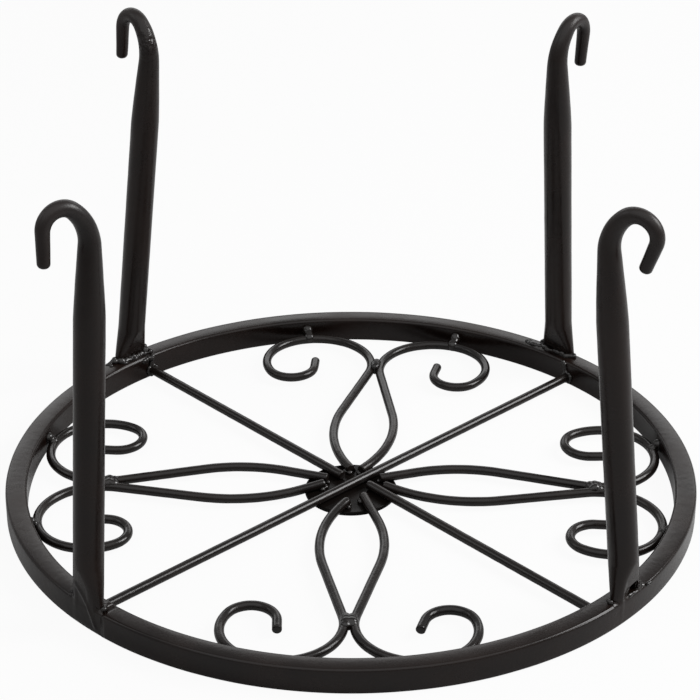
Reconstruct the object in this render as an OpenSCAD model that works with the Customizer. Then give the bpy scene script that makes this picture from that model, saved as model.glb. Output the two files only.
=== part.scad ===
// Round stand for one plant pot. A rim of rectangular tube carries four hooked legs.
// Two crossed rods and four pairs of bent wires fill the rim as a grate.
// The origin is on the floor at the middle of the rim. Front is -Y and left is -X.

/* [Rim] */
// Outer diameter of the rim
rim_diameter = 305; // [260:1:400]
// Height of the rim's tube
rim_height = 12; // [10:0.5:16]
// Width of the rim's tube, from its outer face to its inner face
rim_width = 9.5; // [9:0.5:14]
// Wall of the rim's tube
rim_wall = 1.2; // [0.8:0.1:1.6]
// Radius of the rounded corners of the rim's tube
rim_corner = 1.4; // [0.8:0.1:1.8]
// Place of the rim's butt joint, round from the right, in degrees
rim_seam_angle = 228; // [0:1:359]

/* [Legs] */
// Height from the floor to the crowns of the hooks
stand_height = 188.5; // [160:0.5:260]
// Outer diameter of the leg tube
leg_diameter = 12.7; // [10:0.1:14]
// Wall of the leg tube
leg_wall = 1; // [0.8:0.1:1.2]
// Places of the front left, front right, back left and back right legs, in degrees
leg_angles = [224.3, 318.6, 135.3, 47.9]; // [0:0.1:360]
// Lean of each leg in over the grate, in degrees
leg_leans = [5.1, 4.2, 6.3, 7.4]; // [0:0.1:9]
// Lean of the legs sideways along the rim, in degrees
leg_side_lean = 2.3; // [0:0.1:4]
// Thickness of a leg's flattened foot
foot_thickness = 3.2; // [2.8:0.1:4]
// Height over which the round tube is pressed flat
foot_height = 17; // [14:1:24]

/* [Hooks] */
// Radius of the slow bend below a hook's crown
rise_radius = 20; // [14:1:30]
// Turn of the slow bend, in degrees
rise_turn = 51; // [30:1:60]
// Radius of the bend over a hook's crown
crown_radius = 8; // [7:0.5:14]
// Turn over each crown, in the order of the legs, in degrees
crown_turns = [131, 153, 132, 139]; // [110:1:160]
// Swing of each hook about its leg, in the order of the legs, in degrees
hook_swings = [-9, 10, -4, 3]; // [-15:1:15]
// Straight length at the end of each hook, in the order of the legs
tip_lengths = [14.5, 13, 15, 15.5]; // [6:0.5:20]
// Length of the taper below the slow bend
taper_length = 30; // [15:1:60]
// Diameter of the drawn-down tube at the top of the crown
crown_diameter = 6.6; // [6:0.1:9]
// Diameter at the tip of a hook
tip_diameter = 5.2; // [4:0.1:6]

/* [Grate] */
// Diameter of the rods and of the bent wires
wire_diameter = 4.2; // [3:0.1:4.4]
// Directions of the right, back, left and front petals, in degrees
petal_angles = [357.4, 83.7, 180, 269.6]; // [0:0.1:360]
// Distances from the middle to the places where the two wires of each petal touch
petal_reaches = [110, 108, 110, 109.5]; // [104:0.5:112]
// Direction of the long rod, in degrees
long_rod_angle = 43.5; // [38:0.5:50]
// Directions of the back left and the front right short rods, in degrees
short_rod_angles = [133, 312.7]; // [0:0.1:360]
// How far each short rod passes to the left of the middle, looking along it outwards
short_rod_offsets = [-2, 5.5]; // [-8:0.5:8]
// Distance from the middle line of the long rod to the end of each short rod
short_rod_starts = [7.7, 5.6]; // [5:0.1:10]
// Diameter of the disc under the middle of the grate
hub_diameter = 41; // [36:1:50]
// Thickness of the disc
hub_thickness = 2; // [1:0.1:3]

/* [Hidden] */
// Bends of a wire: straight length before the bend, radius of the bend, turn in degrees.
// The scroll runs out from the touching place, and the petal's side runs in from it.
// The bends and the petals' reaches grow with the rim, so that the scrolls stay beside it.
scroll_bends = [[0, 26.5, 112.5], [0, 22.7, 101], [0, 10.9, 149]];
scroll_end = 7;
petal_bends = [[0, 26.5, -13.5], [38.4, 65, 47]];

// Straight ends of the wires on the disc, in the order of the wires
petal_ends = [1, 16.5, 1, 1, 20, 10.5, 1, 21.5];

// The wires are bent by hand. Each differs from the pattern by these turns, in degrees: at
// the petal's side, before its straight end, at the scroll's outer bend and at the bend after.
side_changes = [1, -1, -0.5, 0.5, -1, 1, 0.5, -1];
end_changes = [0, -13, 0, 0, -14, -5.5, 0, -15.5];
scroll_changes = [-3, -3, 3, 5, 9, 4, 0, -3];
curl_changes = [3, 4, 3, -6, -7, -5, -4, -15];

// Clearances between neighbours that a weld joins
touch_gap = 0.1;
tack_gap = 0.7;
seam_gap = 1;

// Sizes of the welds
seam_recess = 0.25;
foot_bead_radius = 2.1;
foot_bead_count = 9;
foot_bead_stand_off = 0.6;
foot_bead_overrun = 0.4;
foot_bead_unevenness = 0.12;
foot_bead_waves = 3;
foot_bead_bow = 6;
rod_collar_flare = 1.9;
rod_collar_lip = 0.4;
rod_collar_length = 2.4;
junction_bead_radius = 3.6;
junction_bead_edge = 1.7;
junction_bead_rise = 1.2;
tack_waist_radius = 1.2;
tack_flare = 0.7;
tack_lip = 0.1;
tack_rise = 5;
hub_tack_radius = 2.6;

// Smoothness
leg_sides = 24;
wire_sides = 40;
bead_sides = 36;
hub_sides = 72;
rim_sides = 360;

overshoot = 1;
paint = "#2a2624";
weld_paint = "#35302d";

rim_radius = rim_diameter / 2;
rim_inner_radius = rim_radius - rim_width;
wire_radius = wire_diameter / 2;
wire_level = hub_thickness + wire_radius;

// Names in the order of the angles above. The wire on a petal's clockwise side comes first.
corner_names = ["front_left", "front_right", "back_left", "back_right"];
short_rod_names = ["back_left", "front_right"];
petal_names = ["right", "back", "left", "front"];
wire_names = ["right_front", "right_back", "back_right", "back_left",
              "left_back", "left_front", "front_left", "front_right"];

// ---------------------------------------------------------------- shared shapes

// The place reached from another place by a bend: left for a positive turn
function bent(place, aim, radius, turn) =
    place + sign(turn) * radius * [sin(aim + turn) - sin(aim), cos(aim) - cos(aim + turn)];

// The place reached by going straight on
function ahead(place, aim, length) = place + length * [cos(aim), sin(aim)];

function arc_length(radius, turn) = radius * turn * PI / 180;

function mix(a, b, share) = a + (b - a) * share;

module rod(length, radius = wire_radius) {
    rotate([0, 90, 0]) cylinder(h = length, r = radius, $fn = wire_sides);
}

module inside_rim() {
    intersection() {
        children();
        cylinder(h = rim_height, r = rim_inner_radius, $fn = rim_sides);
    }
}

// ---------------------------------------------------------------- rim

module rounded_rectangle(width, height, corner) {
    translate([corner, 0]) square([width - 2 * corner, height]);
    translate([0, corner]) square([width, height - 2 * corner]);
    for (x = [corner, width - corner])
        for (y = [corner, height - corner])
            translate([x, y]) circle(r = corner, $fn = bead_sides);
}

// Section of the rim's tube, with its outer faces set in by the given depth
module rim_section(recess) {
    translate([rim_inner_radius, 0])
        difference() {
            translate([recess, recess])
                rounded_rectangle(rim_width - 2 * recess, rim_height - 2 * recess, rim_corner - recess);
            translate([rim_wall, rim_wall])
                square([rim_width - 2 * rim_wall, rim_height - 2 * rim_wall]);
        }
}

seam_turn = seam_gap / rim_radius * 180 / PI;

module rim() {
    color(paint)
        rotate(rim_seam_angle + seam_turn / 2)
            rotate_extrude(angle = 360 - seam_turn, $fn = rim_sides)
                rim_section(0);
}

module rim_seam_weld() {
    color(weld_paint)
        rotate(rim_seam_angle - seam_turn / 2)
            rotate_extrude(angle = seam_turn, $fn = rim_sides)
                rim_section(seam_recess);
}

// ---------------------------------------------------------------- legs

// The middle line of a leg lies in an upright plane: x runs out from the rim and y runs up.
// It starts at the underside of the foot. Places on it go by their distance s along it.
foot_radius = rim_radius - rim_corner - foot_thickness / 2;
rise_length = arc_length(rise_radius, rise_turn);

// Pressing a round tube keeps its girth: half a flat side, for half a thickness
function half_flat(girth, half_thick) = PI * (girth / 2 - half_thick) / 2;

foot_width = foot_thickness + 2 * half_flat(leg_diameter, foot_thickness / 2);

function aim_up(i) = 90 + leg_leans[i];
function aim_crown(i) = aim_up(i) - rise_turn;
function crest_length(i) = arc_length(crown_radius, aim_crown(i));
function crown_length(i) = arc_length(crown_radius, crown_turns[i]);

// The straight part makes up the height that the foot's seat and the hook leave
function straight_length(i) =
    (stand_height - rim_height - crown_diameter / 2
        - bent([0, 0], aim_up(i), rise_radius, -rise_turn)[1]
        - bent([0, 0], aim_crown(i), crown_radius, -aim_crown(i))[1]) / sin(aim_up(i));

function rise_end(i) = straight_length(i) + rise_length;
function crown_end(i) = rise_end(i) + crown_length(i);
function leg_length(i) = crown_end(i) + tip_lengths[i];

// Direction of the middle line: up along the straight, over the two bends, down to the tip
function leg_aim(i, s) = lookup(s, [
    [straight_length(i), aim_up(i)],
    [rise_end(i), aim_crown(i)],
    [crown_end(i), aim_crown(i) - crown_turns[i]]
]);

function leg_place(i, s) =
    let (
        aim = leg_aim(i, s),
        rise_start = ahead([0, 0], aim_up(i), min(s, straight_length(i))),
        crown_start = bent(rise_start, aim_up(i), rise_radius, max(aim, aim_crown(i)) - aim_up(i)),
        tip_start = bent(crown_start, aim_crown(i), crown_radius, min(aim - aim_crown(i), 0))
    )
    ahead(tip_start, aim, max(s - crown_end(i), 0));

function leg_girth(i, s) = lookup(s, [
    [straight_length(i) - taper_length, leg_diameter],
    [rise_end(i) + crest_length(i), crown_diameter],
    [leg_length(i), tip_diameter]
]);

// 1 at the pressed foot, falling to 0 where the tube is round. The even fall leaves
// a flat facet on each side of the foot, which narrows upwards to a point.
function pressed(s) = max(0, 1 - s / foot_height);

// A closed outline round the middle line, drawn in by an inset: two flat sides between
// two round ends. The foot's outline is level, with its flat sides in and out. Higher
// ones stand square to the middle line, and turn with the hook's swing.
function leg_outline(i, s, inset = 0) =
    let (
        place = leg_place(i, s),
        aim = mix(leg_aim(i, s), 90, pressed(s)),
        swing = hook_swings[i],
        half_thick = mix(leg_girth(i, s), foot_thickness, pressed(s)) / 2,
        flat = half_flat(leg_girth(i, s), half_thick)
    )
    [for (k = [0 : leg_sides - 1])
        let (
            angle = 360 * (k + 1 / 2) / leg_sides,
            thick = (half_thick - inset) * cos(angle),
            wide = (half_thick - inset) * sin(angle) + sign(sin(angle)) * flat,
            out = thick * cos(swing) + wide * sin(swing),
            along = wide * cos(swing) - thick * sin(swing),
            x = place[0] + out * sin(aim),
            z = place[1] - out * cos(aim)
        )
        [x * cos(swing) - along * sin(swing),
         x * sin(swing) + along * cos(swing) - z * tan(leg_side_lean),
         z]
    ];

// The tip's edge is rounded by this much
tip_round = 1.8;

foot_stations = [for (k = [0 : 3]) foot_height * k / 3];

function hook_stations(i) = concat(
    [straight_length(i) - taper_length],
    [for (k = [0 : 6]) straight_length(i) + rise_length * k / 6],
    [for (k = [1 : 4]) rise_end(i) + crest_length(i) * k / 4],
    [for (k = [1 : 9]) mix(rise_end(i) + crest_length(i), crown_end(i), k / 9)],
    [leg_length(i) - tip_round]
);

// Faces between outlines that follow each other, from the given point on
function side_faces(first, count) =
    [for (row = [0 : count - 2])
        for (k = [0 : leg_sides - 1])
            let (
                low = first + row * leg_sides,
                next = (k + 1) % leg_sides
            )
            [low + k, low + leg_sides + k, low + leg_sides + next, low + next]
    ];

function outline_face(first) = [for (k = [0 : leg_sides - 1]) first + k];

function reversed(list) = [for (k = [len(list) - 1 : -1 : 0]) list[k]];

// A hollow leg: its skin from foot to tip, and its bore from the foot to the crown
module leg_tube(i) {
    skin = concat(
        [for (s = concat(foot_stations, hook_stations(i))) leg_outline(i, s)],
        [for (slope = [30, 60, 90])
            leg_outline(i, leg_length(i) - tip_round * (1 - sin(slope)), tip_round * (1 - cos(slope)))]
    );
    bore = [for (s = concat(foot_stations, [straight_length(i) - taper_length, rise_end(i)]))
        leg_outline(i, s, leg_wall)];
    bore_start = len(skin) * leg_sides;
    bore_top = bore_start + (len(bore) - 1) * leg_sides;
    polyhedron(
        points = [for (outline = concat(skin, bore)) each outline],
        faces = concat(
            side_faces(0, len(skin)),
            [reversed(outline_face(bore_start - leg_sides))],
            [for (face = side_faces(bore_start, len(bore))) reversed(face)],
            [outline_face(bore_top)],
            [for (k = [0 : leg_sides - 1])
                let (next = (k + 1) % leg_sides)
                [k, next, bore_start + next, bore_start + k]]
        ),
        convexity = 6
    );
}

module at_foot(i) {
    rotate(leg_angles[i]) translate([foot_radius, 0, rim_height]) children();
}

module leg(i) {
    color(paint) at_foot(i) leg_tube(i);
}

// The foot of a leg without its bore, to cut the weld that lies against it
module foot_block(i) {
    outlines = [for (s = foot_stations) leg_outline(i, s)];
    polyhedron(
        points = [for (outline = outlines) each outline],
        faces = concat(
            [outline_face(0)],
            side_faces(0, len(outlines)),
            [reversed(outline_face((len(outlines) - 1) * leg_sides))]
        )
    );
}

// A row of weld drops along the inner side and round both ends of the foot.
// Their sizes go up and down along the row.
module foot_weld(i) {
    color(weld_paint)
        at_foot(i)
            difference() {
                for (k = [0 : foot_bead_count - 1]) {
                    share = 2 * k / (foot_bead_count - 1) - 1;
                    bow = 1 - pow(share, foot_bead_bow);
                    wave = cos(180 * foot_bead_waves * share);
                    size = foot_bead_radius * (1 - foot_bead_unevenness * wave);
                    translate([-(foot_thickness / 2 + foot_bead_stand_off) * bow - foot_bead_overrun,
                               share * (foot_width / 2 + foot_bead_overrun), 0])
                        sphere(r = size, $fn = bead_sides);
                }
                translate([-foot_width, -foot_width, -foot_width])
                    cube([2 * foot_width, 2 * foot_width, foot_width]);
                foot_block(i);
            }
}

// ---------------------------------------------------------------- rods

module long_rod() {
    color(paint)
        inside_rim()
            rotate(long_rod_angle)
                translate([-rim_radius, 0, wire_level])
                    rod(rim_diameter);
}

// The short rods stop beside the long one, and don't lie on one line
module along_short_rod(i) {
    rotate(short_rod_angles[i])
        translate([0, short_rod_offsets[i], wire_level])
            children();
}

module short_rod(i) {
    color(paint)
        inside_rim()
            along_short_rod(i)
                translate([short_rod_starts[i], 0, 0])
                    rod(rim_radius);
}

// A collar of weld round a rod's end, flaring towards the rim's inner face
module rod_collar(offset) {
    distance = sqrt(pow(rim_inner_radius, 2) - pow(offset, 2));
    translate([distance + overshoot, 0, 0])
        rotate([0, -90, 0])
            difference() {
                cylinder(h = rod_collar_length + overshoot, r1 = wire_radius + rod_collar_flare,
                         r2 = wire_radius + rod_collar_lip, $fn = bead_sides);
                translate([0, 0, -overshoot])
                    cylinder(h = rod_collar_length + 3 * overshoot, r = wire_radius, $fn = wire_sides);
            }
}

// The rods' ends in the order of the legs that stand near them
module rod_weld(i) {
    color(weld_paint)
        inside_rim() {
            if (i == 0)
                rotate(long_rod_angle + 180) translate([0, 0, wire_level]) rod_collar(0);
            if (i == 1)
                along_short_rod(1) rod_collar(short_rod_offsets[1]);
            if (i == 2)
                along_short_rod(0) rod_collar(short_rod_offsets[0]);
            if (i == 3)
                rotate(long_rod_angle) translate([0, 0, wire_level]) rod_collar(0);
        }
}

// ---------------------------------------------------------------- bent wires

touch_offset = wire_radius + touch_gap / 2;
scroll_radius = scroll_bends[0][1];
pattern_reach = norm([max(petal_reaches), touch_offset + scroll_radius]) + scroll_radius;
grate_scale = (rim_inner_radius - wire_radius - tack_gap) / pattern_reach;

// Where a wire touches its pair, and its bends outwards and inwards from there
function touch_place(i) = [petal_reaches[floor(i / 2)] * grate_scale, touch_offset];

function scroll_of(i) = [
    scroll_bends[0] + [0, 0, scroll_changes[i]],
    scroll_bends[1] + [0, 0, curl_changes[i]],
    scroll_bends[2]
];

function side_of(i) = [
    petal_bends[0] + [0, 0, side_changes[i]],
    petal_bends[1] + [0, 0, end_changes[i]]
];

// The pieces of a wire bite into each other a little, and each is finer by a hair than the
// piece before it, so that they join into one solid.
bite = 0.1;
hair = 0.01;

// One bend in the level plane from the origin along +X: left for a positive turn
module wire_bend(bend_radius, turn, radius) {
    side = sign(turn);
    back = side * bite / bend_radius * 180 / PI;
    translate([0, side * bend_radius, 0])
        rotate(-90 * side - back)
            rotate_extrude(angle = turn + back, $fn = 2 * wire_sides)
                translate([bend_radius, 0])
                    circle(r = radius, $fn = wire_sides);
}

// Bends one after another from the origin along +X, then a straight end
module wire_run(bends, end_length, radius, k = 0) {
    if (k < len(bends)) {
        straight = bends[k][0] * grate_scale;
        bend_radius = bends[k][1] * grate_scale;
        turn = bends[k][2];
        if (straight > 0)
            translate([-bite, 0, 0]) rod(straight + bite, radius);
        translate([straight, 0, 0]) {
            wire_bend(bend_radius, turn, radius - hair);
            translate(bent([0, 0], 0, bend_radius, turn))
                rotate(turn)
                    wire_run(bends, end_length, radius - 2 * hair, k + 1);
        }
    } else {
        translate([-bite, 0, 0]) rod(end_length * grate_scale + bite, radius);
    }
}

// Wires come in pairs: the first of a pair lies on the petal's clockwise side
module on_side(i) {
    rotate(petal_angles[floor(i / 2)])
        mirror([0, 1 - i % 2, 0])
            translate([0, 0, wire_level])
                children();
}

module scroll_wire(i) {
    color(paint)
        on_side(i)
            translate(touch_place(i)) {
                wire_run(scroll_of(i), scroll_end, wire_radius);
                rotate(180) wire_run(side_of(i), petal_ends[i], wire_radius - hair);
            }
}

// ---------------------------------------------------------------- welds of the wires

// The middle of the scroll's outer bend
function scroll_middle(i) = touch_place(i) + [0, scroll_radius * grate_scale];

// A waisted column of weld from the wire's back up to the rim's inner face, where the
// scroll's outer bend comes nearest the rim
module scroll_tack(i) {
    distance = norm(scroll_middle(i)) + scroll_radius * grate_scale;
    run = rim_inner_radius - distance;
    length = norm([run, tack_rise]) + overshoot;
    curve = (pow(length / 2, 2) + pow(tack_flare, 2)) / (2 * tack_flare);
    color(weld_paint)
        inside_rim()
            on_side(i)
                difference() {
                    rotate(atan2(scroll_middle(i)[1], scroll_middle(i)[0]))
                        translate([distance, 0, 0])
                            rotate([0, atan2(run, tack_rise), 0])
                                rotate_extrude($fn = wire_sides)
                                    difference() {
                                        square([tack_waist_radius + tack_flare - tack_lip, length]);
                                        translate([tack_waist_radius + curve, length / 2])
                                            circle(r = curve, $fn = 2 * wire_sides);
                                    }
                    translate(touch_place(i))
                        wire_run([scroll_of(i)[0]], 0, wire_radius);
                }
}

// A flat drop of weld over the place where the two wires of a petal touch
module junction_weld(i) {
    color(weld_paint)
        rotate(petal_angles[i])
            translate([0, 0, wire_level])
                difference() {
                    translate([touch_place(2 * i)[0], 0, junction_bead_rise])
                        rotate_extrude($fn = wire_sides) {
                            translate([0, -junction_bead_edge])
                                square([junction_bead_radius - junction_bead_edge, 2 * junction_bead_edge]);
                            translate([junction_bead_radius - junction_bead_edge, 0])
                                circle(r = junction_bead_edge, $fn = bead_sides);
                        }
                    for (wire = [2 * i, 2 * i + 1])
                        mirror([0, 1 - wire % 2, 0])
                            translate(touch_place(wire)) {
                                wire_run([scroll_of(wire)[0]], 0, wire_radius);
                                rotate(180)
                                    wire_run([side_of(wire)[0]], junction_bead_radius, wire_radius - hair);
                            }
                }
}

// ---------------------------------------------------------------- hub

// Where a wire is and where it heads after its bends from the given one on, as [place, aim]
function after_bends(bends, place, aim, k = 0) =
    k == len(bends) ? [place, aim] :
    after_bends(
        bends,
        bent(ahead(place, aim, bends[k][0]), aim, bends[k][1], bends[k][2]),
        aim + bends[k][2],
        k + 1
    );

module hub_disc() {
    color(paint) cylinder(h = hub_thickness, d = hub_diameter, $fn = hub_sides);
}

// Drops of weld over the ends of the eight wires, on the disc
module hub_tacks() {
    color(weld_paint)
        for (i = [0 : 7]) {
            side = after_bends(side_of(i), [0, 0], 180);
            on_side(i)
                translate(touch_place(i) + grate_scale * ahead(side[0], side[1], petal_ends[i]))
                    difference() {
                        translate([0, 0, -wire_radius])
                            sphere(r = hub_tack_radius, $fn = bead_sides);
                        translate([-hub_diameter / 2, -hub_diameter / 2, -wire_radius - hub_diameter])
                            cube([hub_diameter, hub_diameter, hub_diameter]);
                        rotate(side[1] + 180)
                            rod(2 * hub_tack_radius);
                    }
        }
}

// ---------------------------------------------------------------- the stand

rim();
rim_seam_weld();
long_rod();
hub_disc();
hub_tacks();
for (i = [0 : 3]) {
    leg(i);
    foot_weld(i);
    rod_weld(i);
    junction_weld(i);
}
for (i = [0 : 1])
    short_rod(i);
for (i = [0 : 7]) {
    scroll_wire(i);
    scroll_tack(i);
}
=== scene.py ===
from math import atan2, cos, degrees, exp, hypot, pi, radians, sin, sqrt, tan

import bmesh
import bpy
from mathutils import Matrix, Vector, noise


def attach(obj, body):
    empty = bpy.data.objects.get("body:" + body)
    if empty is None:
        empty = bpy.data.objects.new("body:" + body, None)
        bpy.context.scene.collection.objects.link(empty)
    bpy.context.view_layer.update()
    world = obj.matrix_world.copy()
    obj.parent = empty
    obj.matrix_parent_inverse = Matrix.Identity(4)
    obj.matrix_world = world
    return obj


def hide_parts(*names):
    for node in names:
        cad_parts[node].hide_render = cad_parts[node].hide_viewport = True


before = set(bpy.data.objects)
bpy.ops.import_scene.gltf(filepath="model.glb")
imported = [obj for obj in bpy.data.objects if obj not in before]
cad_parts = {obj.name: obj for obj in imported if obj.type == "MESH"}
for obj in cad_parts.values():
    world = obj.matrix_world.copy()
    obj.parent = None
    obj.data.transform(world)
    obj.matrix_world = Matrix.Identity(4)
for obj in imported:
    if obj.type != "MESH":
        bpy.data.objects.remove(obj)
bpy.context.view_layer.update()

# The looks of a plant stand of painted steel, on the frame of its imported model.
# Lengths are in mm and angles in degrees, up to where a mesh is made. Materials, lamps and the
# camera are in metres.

MM = 0.001

# ---------------------------------------------------------------- sizes, as in the source

RIM_RADIUS, RIM_HEIGHT, RIM_WIDTH, RIM_CORNER = 152.5, 12.0, 9.5, 1.4
RIM_INNER = RIM_RADIUS - RIM_WIDTH
SEAM_ANGLE, SEAM_GAP = 228.0, 1.0
HALF_SEAM = degrees(SEAM_GAP / RIM_RADIUS) / 2

# The legs, in the order of their corners
CORNERS = ("front_left", "front_right", "back_left", "back_right")
LEG_ANGLES = (224.3, 318.6, 135.3, 47.9)
LEG_LEANS = (5.1, 4.2, 6.3, 7.4)
SIDE_LEAN = 2.3
SWINGS = (-9.0, 10.0, -4.0, 3.0)
STAND_HEIGHT, LEG_DIAMETER, LEG_WALL = 188.45, 12.7, 1.0
FOOT_THICKNESS, FOOT_HEIGHT = 3.2, 17.0
FOOT_RADIUS = RIM_RADIUS - RIM_CORNER - FOOT_THICKNESS / 2
FOOT_HALF = FOOT_THICKNESS / 2 + pi * (LEG_DIAMETER / 2 - FOOT_THICKNESS / 2) / 2

# Their hooks: a rise, a tighter crown and a straight tip
RISE_RADIUS, RISE_TURN, CROWN_RADIUS = 20.0, 51.0, 8.0
CROWN_TURNS = (131.0, 153.0, 132.0, 139.0)
TIP_LENGTHS = (14.5, 13.0, 15.0, 15.5)
TAPER_LENGTH, CROWN_DIAMETER, TIP_DIAMETER = 30.0, 6.6, 5.2

# The bent wires, two to a petal: bends are (straight, radius, turn)
WIRE_RADIUS, WIRE_LEVEL = 2.1, 4.1
TOUCH_OFFSET = WIRE_RADIUS + 0.05
PETALS = ("right", "back", "left", "front")
PETAL_ANGLES = (357.4, 83.7, 180.0, 269.6)
PETAL_REACHES = (110.0, 108.0, 110.0, 109.5)
SCROLL_BENDS = ((0, 26.5, 112.5), (0, 22.7, 101.0), (0, 10.9, 149.0))
SCROLL_END = 7.0
SIDE_BENDS = ((0, 26.5, -13.5), (38.4, 65.0, 47.0))

# What sets each wire apart: the ends and turns of its petal's side, then the turns of its scroll
WIRES = ("right_front", "right_back", "back_right", "back_left",
         "left_back", "left_front", "front_left", "front_right")
SIDE_ENDS = (1.0, 16.5, 1.0, 1.0, 20.0, 10.5, 1.0, 21.5)
END_CHANGES = (0, -13, 0, 0, -14, -5.5, 0, -15.5)
SIDE_CHANGES = (1, -1, -0.5, 0.5, -1, 1, 0.5, -1)
SCROLL_CHANGES = (-3, -3, 3, 5, 9, 4, 0, -3)
CURL_CHANGES = (3, 4, 3, -6, -7, -5, -4, -15)

# The rods, the short ones as (name, angle, offset, start), and the disc
LONG_ROD_ANGLE = 43.5
SHORT_RODS = (("back_left", 133.0, -2.0, 7.7), ("front_right", 312.7, 5.5, 5.6))
HUB_DIAMETER, HUB_THICKNESS = 41.0, 2.0


# ---------------------------------------------------------------- helpers

def link_object(name, data):
    """A new object in the scene that shows the given data."""
    thing = bpy.data.objects.new(name, data)
    bpy.context.scene.collection.objects.link(thing)
    return thing


def mesh_object(name, verts, faces):
    """A new object from points in mm."""
    mesh = bpy.data.meshes.new(name)
    mesh.from_pydata([(x * MM, y * MM, z * MM) for x, y, z in verts], [], faces)
    return link_object(name, mesh)


def discard(thing):
    """Deletes an object and its mesh."""
    mesh = thing.data
    bpy.data.objects.remove(thing)
    bpy.data.meshes.remove(mesh)


def applied(thing):
    """Points in mm, normals and faces of an object after its modifiers."""
    bpy.context.view_layer.update()
    shown = thing.evaluated_get(bpy.context.evaluated_depsgraph_get())
    mesh = shown.to_mesh()
    points = [Vector(vertex.co) / MM for vertex in mesh.vertices]
    normals = [Vector(vertex.normal) for vertex in mesh.vertices]
    faces = [tuple(face.vertices) for face in mesh.polygons]
    shown.to_mesh_clear()
    return points, normals, faces


def shade_smooth(mesh):
    for face in mesh.polygons:
        face.use_smooth = True


def add_piece(name, verts, faces, look, replaced):
    """A piece from points in mm, riding on the stand in place of the given CAD nodes."""
    piece = mesh_object(name, verts, faces)
    piece.data.validate()
    shade_smooth(piece.data)
    piece.data.materials.append(look)
    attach(piece, "root")
    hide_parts(*replaced)


def wobble(point, scale, seed=0.0):
    """Smooth unevenness between -1 and 1 at a point in mm."""
    return noise.noise(Vector((point[0] / scale + seed, point[1] / scale - seed,
                               point[2] / scale + 2 * seed)))


def spread(seed, k):
    """A steady number between -1 and 1 for drop k of a weld."""
    return sin(12.9898 * (k + 1) + 78.233 * seed) * 43758.5453 % 2 - 1


def eased(share):
    """A share held between 0 and 1, that starts and ends gently."""
    share = max(0.0, min(1.0, share))
    return share * share * (3 - 2 * share)


def turned(point, angle):
    """A point turned about the stand's axis; what follows its x and y stays."""
    c, s = cos(radians(angle)), sin(radians(angle))
    return (point[0] * c - point[1] * s, point[0] * s + point[1] * c) + tuple(point[2:])


def bent(place, aim, radius, turn):
    """Where a bend ends that starts at a place with an aim."""
    a, b = radians(aim), radians(aim + turn)
    side = 1 if turn > 0 else -1
    return (place[0] + side * radius * (sin(b) - sin(a)),
            place[1] + side * radius * (cos(a) - cos(b)))


def straight_run(start, aim, length, steps):
    """Places along a straight run, without its start."""
    return [(start[0] + length * k / steps * cos(radians(aim)),
             start[1] + length * k / steps * sin(radians(aim))) for k in range(1, steps + 1)]


def wall_between(low, high, sides):
    """Faces between two rings of points that start at the numbers low and high."""
    return [(low + k, low + (k + 1) % sides, high + (k + 1) % sides, high + k)
            for k in range(sides)]


def inward(faces):
    """The same four-sided faces, looking the other way."""
    return [(b, a, d, c) for a, b, c, d in faces]


def loft(rings):
    """Points and faces of a closed body through rings of as many points."""
    sides = len(rings[0])
    verts = [point for ring in rings for point in ring]
    faces = []
    for row in range(len(rings) - 1):
        faces += wall_between(row * sides, (row + 1) * sides, sides)
    faces.append(tuple(reversed(range(sides))))
    faces.append(tuple(range((len(rings) - 1) * sides, len(rings) * sides)))
    return verts, faces


# ---------------------------------------------------------------- materials

def worked(tree, kind, operation, *terms):
    """A Math or VectorMath node whose terms are numbers or the outputs of other nodes."""
    made = tree.nodes.new("ShaderNode" + kind)
    made.operation = operation
    for socket, term in zip(made.inputs, terms):
        if isinstance(term, bpy.types.NodeSocket):
            tree.links.new(term, socket)
        else:
            socket.default_value = term
    return made


def mapped(tree, source, low, high, first, last):
    """A value that runs from first to last while its source runs from low to high."""
    made = tree.nodes.new("ShaderNodeMapRange")
    names = ("From Min", "From Max", "To Min", "To Max")
    for name, value in zip(names, (low, high, first, last)):
        made.inputs[name].default_value = value
    tree.links.new(source, made.inputs["Value"])
    return made.outputs["Result"]


def speckled(tree, place, scale, detail):
    """Noise over the surface, at a scale per metre."""
    made = tree.nodes.new("ShaderNodeTexNoise")
    made.inputs["Scale"].default_value = scale
    made.inputs["Detail"].default_value = detail
    tree.links.new(place, made.inputs["Vector"])
    return made.outputs["Fac"]


# The paint's blotches: which part of the noise they take, their darkest and lightest tones as
# shares of the paint's tone, and the roughness that they take away and add
BLOTCH_RANGE, BLOTCH_DARK, BLOTCH_LIGHT = (0.32, 0.70), (0.72, 0.72, 0.72), (1.45, 1.38, 1.32)
SHINE_RANGE, SHINE_CHANGES = (0.3, 0.7), (-0.06, 0.09)
# The finer grain in the skin: how many times as fine, and how deep for the main grain's depth
FINE_GRAIN, FINE_DEPTH = 5, 0.25
BUMP_STRENGTH = 0.5

# On the tubes: the levels over which a hook's crown is painted paler, a painted sheen for the light
# that its top reflects from above, and the tone that it gains
SHEEN_PAINT_LEVELS, SHEEN_PAINT_GAIN = (0.170, 0.184), (0.0085, 0.0085, 0.0087)
# the levels over which a hook gets duller, and the roughness that it gains
DULL_LEVELS, DULL_GAIN = (0.155, 0.176), 0.10
# and the battered place outside the back left hook's bend: its middle, the distances over which it
# fades, how deep and fine its dents are, and how its roughness changes with the dents' depth
BATTERED, BATTERED_FADE = (-0.09, 0.0942, 0.1769), (0.003, 0.009)
DENT_DEPTH, DENT_SCALE, DENT_SHINE = 16.0, 460.0, -0.014


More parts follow.
